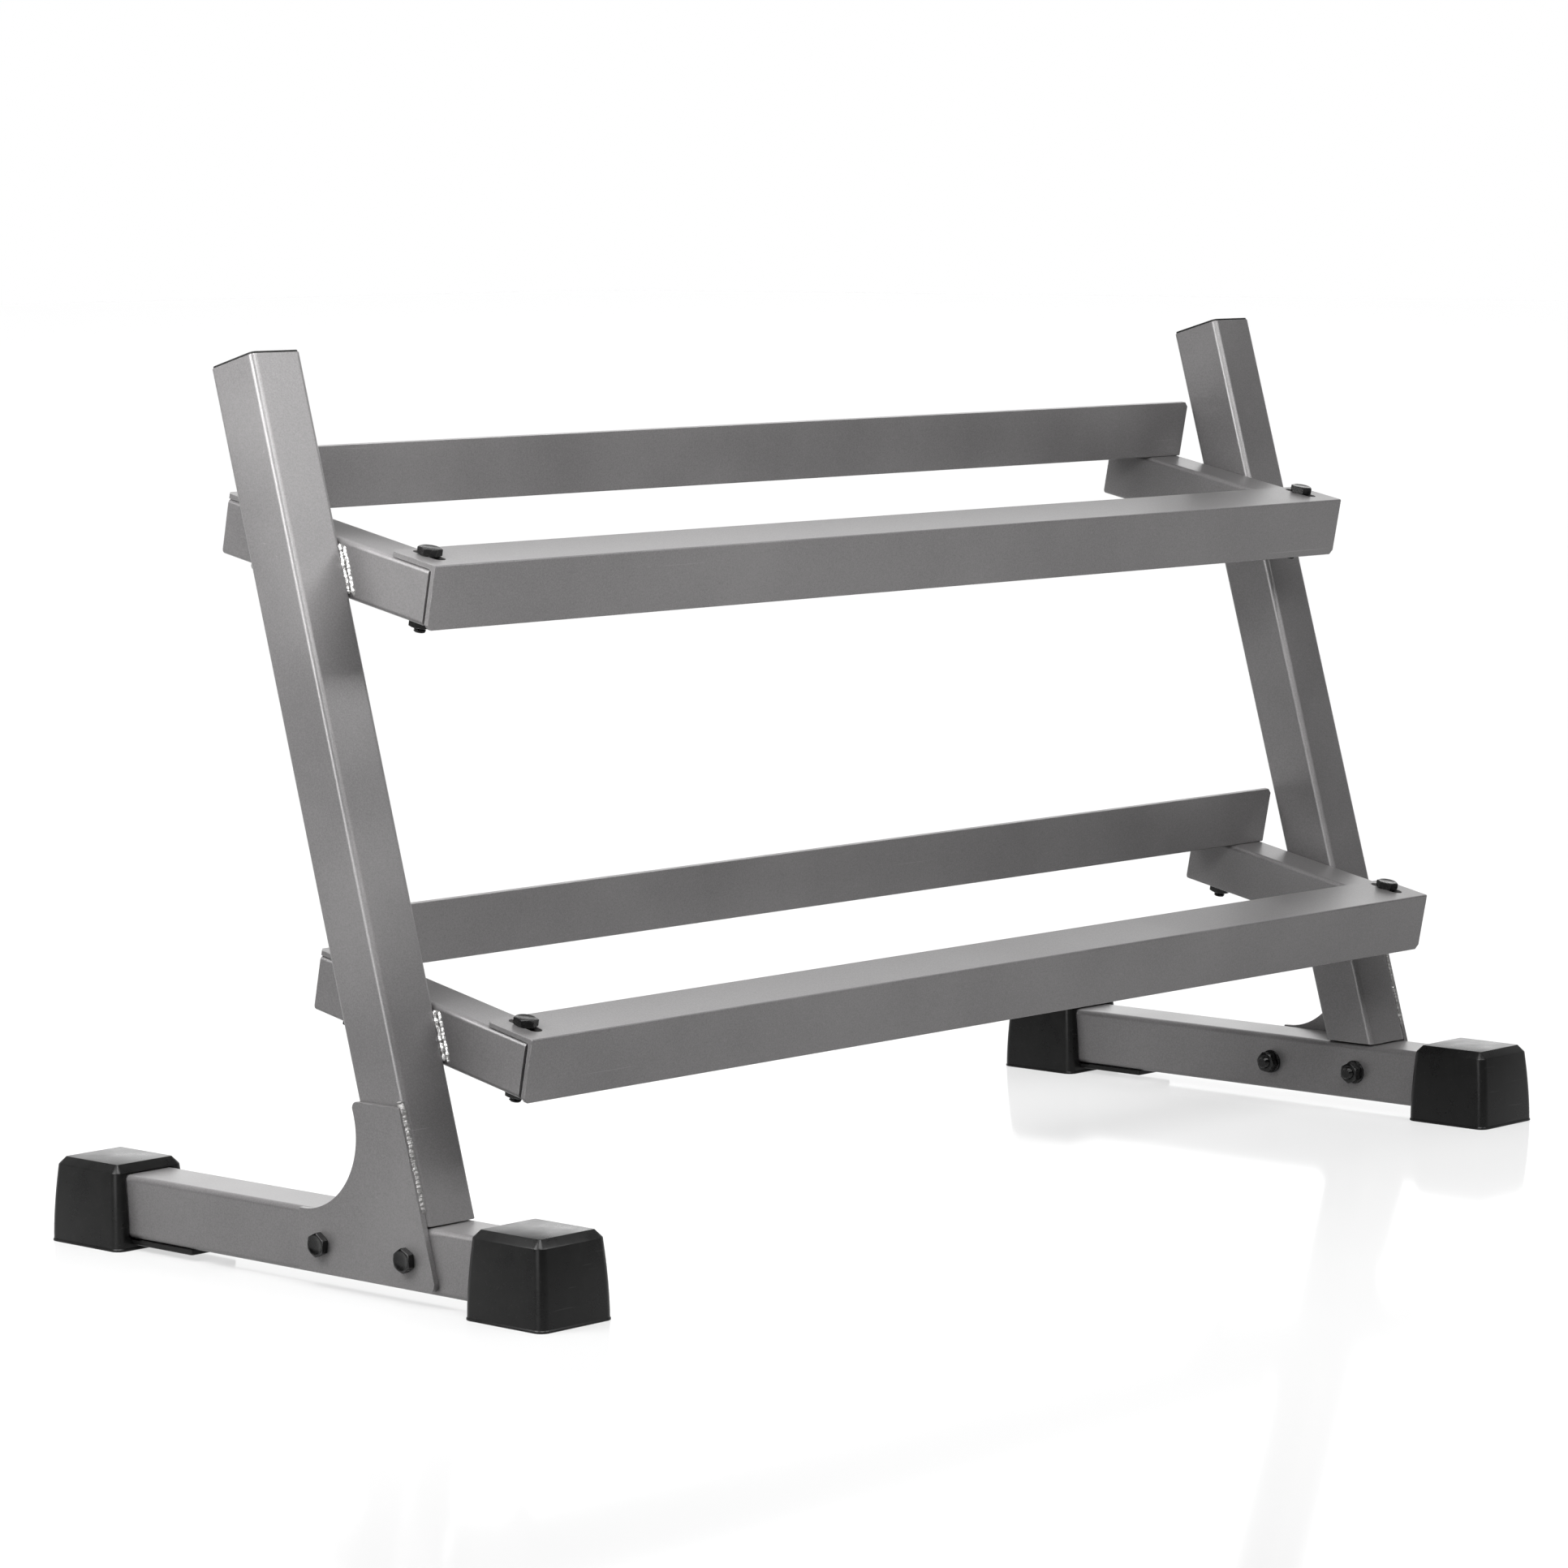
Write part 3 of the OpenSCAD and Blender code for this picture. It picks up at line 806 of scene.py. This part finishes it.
def thread_loops(z_from, z_to, tip):
    """Outlines of a threaded rod down z, from z_from to z_to, with a chamfered tip."""
    rows = max(int((z_from - z_to) / (THREAD_PITCH / 8)), 2)
    loops = []
    for row in range(rows + 1):
        z = z_from + (z_to - z_from) * row / rows
        near_tip = max(tip - (z - z_to), 0)
        loop = []
        for i in range(ROD_STEPS):
            angle = math.tau * i / ROD_STEPS
            turn = (z / THREAD_PITCH - i / ROD_STEPS) % 1
            groove = 1 - abs(2 * turn - 1)
            radius = BOLT_R - THREAD_DEPTH * min(groove * 1.15, 1)
            radius = min(radius, BOLT_R - near_tip)
            loop.append((radius * math.cos(angle), radius * math.sin(angle), z))
        loops.append(loop)
    return loops


def bolt_mesh(grip):
    """Hexagon bolt: head on z = 0, shank down through the grip, and a threaded end."""
    def build_head(bm):
        top = HEAD_H
        add_loft(bm, [
            ring(HEAD_STEP_R, 0, HEX_STEPS),
            ring(HEAD_STEP_R, HEAD_STEP_H, HEX_STEPS),
            hex_loop(lambda radius: HEAD_STEP_H + chamfer_drop(radius) * 0.5),
            hex_loop(lambda radius: top - chamfer_drop(radius) - EDGE_EASE),
            hex_loop(lambda radius: top - chamfer_drop(radius), EDGE_EASE),
            ring(CHAMFER_R - 0.25 * MM, top, HEX_STEPS),
            ring(CHAMFER_R * 0.86, top - 0.05 * MM, HEX_STEPS),
            ring(CHAMFER_R * 0.78, top - 0.4 * MM, HEX_STEPS),
            ring(CHAMFER_R * 0.2, top - 0.5 * MM, HEX_STEPS),
        ])

    def build_rod(bm):
        end = -(grip + NUT_H + BOLT_END)
        thread_from = end + NUT_H + BOLT_END + 3 * MM
        loops = [ring(BOLT_R, 0.2 * MM, ROD_STEPS), ring(BOLT_R, thread_from + 1 * MM, ROD_STEPS)]
        loops += thread_loops(thread_from, end, 1 * MM)
        add_loft(bm, loops)

    mesh = join_meshes("bolt", [mesh_of("head", build_head), mesh_of("rod", build_rod)])
    mesh.set_sharp_from_angle(angle=SHARP_ANGLE)
    return mesh


def nut_mesh():
    """Hexagon nut with its seat on z = 0, standing down z, chamfered at both ends and countersunk."""
    def build(bm):
        loops = [
            ring(BOLT_R - 0.5 * MM, -0.9 * MM, HEX_STEPS),
            ring(BOLT_R + 0.5 * MM, 0, HEX_STEPS),
            ring(CHAMFER_R, 0, HEX_STEPS),
            hex_loop(lambda radius: -chamfer_drop(radius)),
            hex_loop(lambda radius: -NUT_H + chamfer_drop(radius) + EDGE_EASE),
            hex_loop(lambda radius: -NUT_H + chamfer_drop(radius), EDGE_EASE),
            ring(CHAMFER_R - 0.25 * MM, -NUT_H, HEX_STEPS),
            ring(BOLT_R + 0.6 * MM, -NUT_H, HEX_STEPS),
            ring(BOLT_R - 0.5 * MM, -NUT_H + 1 * MM, HEX_STEPS),
        ]
        add_loft(bm, loops + loops[:1], close_start=False, close_end=False)

    return mesh_of("nut", build)


def washer_mesh():
    """Flat washer with its upper face on z = 0 and rolled outer edges."""
    def build(bm):
        hole = BOLT_R + 0.4 * MM
        outline = ((hole, -0.3), (hole + 0.3 * MM, 0), (WASHER_R - 0.5 * MM, 0), (WASHER_R - 0.1 * MM, -0.25),
                   (WASHER_R, -0.7), (WASHER_R, -1.5), (WASHER_R - 0.2 * MM, -1.9), (WASHER_R - 0.5 * MM, -2),
                   (hole + 0.3 * MM, -2), (hole, -1.7), (hole, -0.3))
        loops = [ring(radius, z * MM, WASHER_STEPS) for radius, z in outline]
        add_loft(bm, loops, close_start=False, close_end=False)

    return mesh_of("washer", build)


def fastener_nodes():
    """Geometry nodes that set one fastener on each point, turned by the point's own angles."""
    tree = bpy.data.node_groups.new("fasteners", "GeometryNodeTree")
    panel = tree.interface
    panel.new_socket("Geometry", in_out="INPUT", socket_type="NodeSocketGeometry")
    panel.new_socket("Fastener", in_out="INPUT", socket_type="NodeSocketObject")
    panel.new_socket("Scale", in_out="INPUT", socket_type="NodeSocketFloat").default_value = 1.0
    panel.new_socket("Finish", in_out="INPUT", socket_type="NodeSocketMaterial")
    panel.new_socket("Geometry", in_out="OUTPUT", socket_type="NodeSocketGeometry")
    given = add_node(tree, "NodeGroupInput").outputs
    model = add_node(tree, "GeometryNodeObjectInfo", {"Object": given["Fastener"]}).outputs["Geometry"]
    angles = add_node(tree, "GeometryNodeInputNamedAttribute", {"Name": "turn"}, data_type="FLOAT_VECTOR")
    turn = add_node(tree, "FunctionNodeEulerToRotation", {"Euler": angles.outputs["Attribute"]})
    inputs = {"Points": given["Geometry"], "Instance": model, "Rotation": turn.outputs["Rotation"],
              "Scale": given["Scale"]}
    copies = add_node(tree, "GeometryNodeInstanceOnPoints", inputs)
    solid = add_node(tree, "GeometryNodeRealizeInstances", {"Geometry": copies.outputs["Instances"]})
    coated = add_node(tree, "GeometryNodeSetMaterial",
                      {"Geometry": solid.outputs["Geometry"], "Material": given["Finish"]})
    add_node(tree, "NodeGroupOutput", {"Geometry": coated.outputs["Geometry"]})
    return tree


def set_fasteners(node, tree, model, places):
    """One piece that holds a copy of the model at each place."""
    mesh = bpy.data.meshes.new(node)
    mesh.from_pydata([tuple(place.translation) for place in places], [], [])
    turns = mesh.attributes.new("turn", "FLOAT_VECTOR", "POINT")
    for item, place in zip(turns.data, places):
        item.vector = place.to_euler("XYZ")
    piece = link_mesh(node + "_set", mesh)
    run_tree(piece, tree, {"Fastener": model, "Scale": 1.0, "Finish": STEEL})
    piece.data.set_sharp_from_angle(angle=SHARP_ANGLE)
    hand_over(piece, [node], STEEL)


def hex_turn(index):
    return Matrix.Rotation(math.radians(HEX_TURNS[index % len(HEX_TURNS)]), 4, "Z")


def shelf_fasteners(tree, bolt, nut):
    count = 0
    for level in LEVELS:
        for end in ENDS:
            y = (BRACKET_L / 2 - BOLT_INSET) * (-1 if end == "front" else 1)
            heads = []
            nuts = []
            for side in SIDES:
                place = bracket_place(level, side)
                heads.append(place @ Matrix.Translation((0, y, BRACKET_W / 2 + RAIL_T)) @ hex_turn(count))
                nuts.append(place @ Matrix.Translation((0, y, -BRACKET_W / 2)) @ hex_turn(count + 3))
                count += 1
            set_fasteners(f"{level}_{end}_bolts", tree, bolt, heads)
            set_fasteners(f"{level}_{end}_nuts", tree, nut, nuts)


def base_fasteners(tree, bolt, nut, washer):
    for side in SIDES:
        places = [base_bolt_place(side, y) for y in BASE_BOLT_Y]
        head_seat = Matrix.Translation((0, 0, GUSSET_T))
        under = Matrix.Translation((0, 0, -TUBE_W))
        nut_seat = Matrix.Translation((0, 0, -TUBE_W - WASHER_T))
        heads = [place @ head_seat @ hex_turn(i) for i, place in zip(CORNER_UP, places)]
        nuts = [place @ nut_seat @ hex_turn(i + 2) for i, place in enumerate(places)]
        set_fasteners(side + "_base_bolts", tree, bolt, heads)
        set_fasteners(side + "_base_nuts", tree, nut, nuts)
        set_fasteners(side + "_base_washers", tree, washer, [place @ under for place in places])


def add_fasteners():
    tree = fastener_nodes()
    shelf_bolt = link_mesh("shelf_bolt", bolt_mesh(RAIL_T + BRACKET_W))
    base_bolt = link_mesh("base_bolt", bolt_mesh(GUSSET_T + TUBE_W + WASHER_T))
    nut = link_mesh("nut", nut_mesh())
    washer = link_mesh("washer", washer_mesh())
    shelf_fasteners(tree, shelf_bolt, nut)
    base_fasteners(tree, base_bolt, nut, washer)
    for model in (shelf_bolt, base_bolt, nut, washer):
        bpy.data.objects.remove(model)


# ---- studio ----

def add_camera():
    data = bpy.data.cameras.new("camera")
    data.sensor_width = SENSOR
    data.lens = LENS
    camera = bpy.data.objects.new("camera", data)
    level = math.cos(CAMERA_PITCH)
    forward = Vector((math.sin(CAMERA_YAW) * level, math.cos(CAMERA_YAW) * level, -math.sin(CAMERA_PITCH)))
    right = Vector((math.cos(CAMERA_YAW), -math.sin(CAMERA_YAW), 0))
    turn = Matrix((right, right.cross(forward), -forward)).transposed().to_4x4()
    camera.matrix_world = Matrix.Translation(CAMERA_AT) @ turn @ Matrix.Rotation(CAMERA_ROLL, 4, "Z")
    bpy.context.scene.collection.objects.link(camera)
    bpy.context.scene.camera = camera


def add_floor():
    """Glossy white studio floor that glows a little and lights nothing else."""
    reach = FLOOR_REACH
    corners = ((-reach, -reach, 0), (reach, -reach, 0), (reach, reach, 0), (-reach, reach, 0))
    mesh = mesh_of("floor", lambda bm: bm.faces.new([bm.verts.new(corner) for corner in corners]))
    floor = link_mesh("floor", mesh)
    material, tree, shader = new_material("white_floor")
    shader.inputs["Base Color"].default_value = (0.3, 0.3, 0.3, 1)
    shader.inputs["Roughness"].default_value = 0.9
    shader.inputs["Specular IOR Level"].default_value = 0.0
    gloss = add_node(tree, "ShaderNodeBsdfGlossy", {"Color": (1, 1, 1, 1), "Roughness": 0.09})
    blend = add_node(tree, "ShaderNodeMixShader",
                     {0: FLOOR_GLOSS, 1: shader.outputs["BSDF"], 2: gloss.outputs["BSDF"]})
    tree.links.new(blend.outputs["Shader"], tree.nodes["Material Output"].inputs["Surface"])
    shader.inputs["Emission Color"].default_value = (1, 1, 1, 1)
    shader.inputs["Emission Strength"].default_value = FLOOR_GLOW
    mesh.materials.append(material)
    floor.visible_diffuse = False


def add_sky():
    """White surround, full white to the eye. As light it is brightest behind the rack and overhead."""
    world = bpy.data.worlds.new("studio")
    bpy.context.scene.world = world
    world.use_nodes = True
    tree = world.node_tree
    around = add_node(tree, "ShaderNodeTexCoord").outputs["Generated"]
    total = 0.0
    for direction, power, strength in SKY_LOBES:
        facing = add_node(tree, "ShaderNodeVectorMath", {0: around, 1: tuple(Vector(direction).normalized())},
                          operation="DOT_PRODUCT").outputs["Value"]
        lobe = math_node(tree, "POWER", math_node(tree, "MAXIMUM", facing, 0.0), float(power))
        total = math_node(tree, "ADD", total, math_node(tree, "MULTIPLY", lobe, float(strength)))
    light = tree.nodes["Background"]
    light.inputs["Color"].default_value = (1, 1, 1, 1)
    tree.links.new(total, light.inputs["Strength"])
    seen = add_node(tree, "ShaderNodeBackground", {"Color": (1, 1, 1, 1), "Strength": 1.0})
    path = add_node(tree, "ShaderNodeLightPath").outputs["Is Camera Ray"]
    both = add_node(tree, "ShaderNodeMixShader", {0: path, 1: light.outputs[0], 2: seen.outputs[0]})
    tree.links.new(both.outputs["Shader"], tree.nodes["World Output"].inputs["Surface"])


def add_softbox(name, place, target, width, height, power, gloss_only=False, spread=180):
    data = bpy.data.lights.new(name, "AREA")
    data.shape = "RECTANGLE"
    data.size = width
    data.size_y = height
    data.energy = power
    data.spread = math.radians(spread)
    light = bpy.data.objects.new(name, data)
    away = Vector(place) - Vector(target)
    light.matrix_world = Matrix.Translation(place) @ away.to_track_quat("Z", "Y").to_matrix().to_4x4()
    light.visible_diffuse = not gloss_only
    bpy.context.scene.collection.objects.link(light)


def add_studio():
    bpy.context.scene.view_settings.view_transform = "Standard"
    add_camera()
    add_floor()
    add_sky()
    add_softbox("left_side", (-1.5, 0.3, 1.1), (-0.6, 0.05, 0.6), 0.8, 0.8, 21)
    add_softbox("left_front", (-1.1, -1.1, 1.35), (-0.5, 0, 0.75), 0.8, 0.6, 4.4, spread=90)
    add_softbox("front", (0.2, -1.5, 1.5), (0, 0, 0.6), 1.6, 0.6, 22)
    add_softbox("over_left_post", (-0.6, 0.1, 1.5), (-0.5, 0, 0), 1.0, 0.8, 3)
    add_softbox("left_glint", (-3.2, 0, 1.3), (0, 0, 0.4), 0.5, 1.2, 35, gloss_only=True)
    add_softbox("low_glint", (-3.3, -0.7, 0.5), (-0.6, -0.3, 0.05), 1.6, 0.8, 16, gloss_only=True)
    add_softbox("top_glint", (-0.9, -0.6, 2.4), (-0.5, -0.2, 0), 1.4, 1.4, 60, gloss_only=True)


dress_sheet_parts()
for side in SIDES:
    upright_plug(side)
    for end in ENDS:
        foot_cap(side, end)
    for level in LEVELS:
        bracket_plugs(level, side)
beads = bead_nodes()
for side in SIDES:
    gusset_weld(side, beads)
    for level in LEVELS:
        bracket_weld(level, side, beads)
add_fasteners()
add_studio()
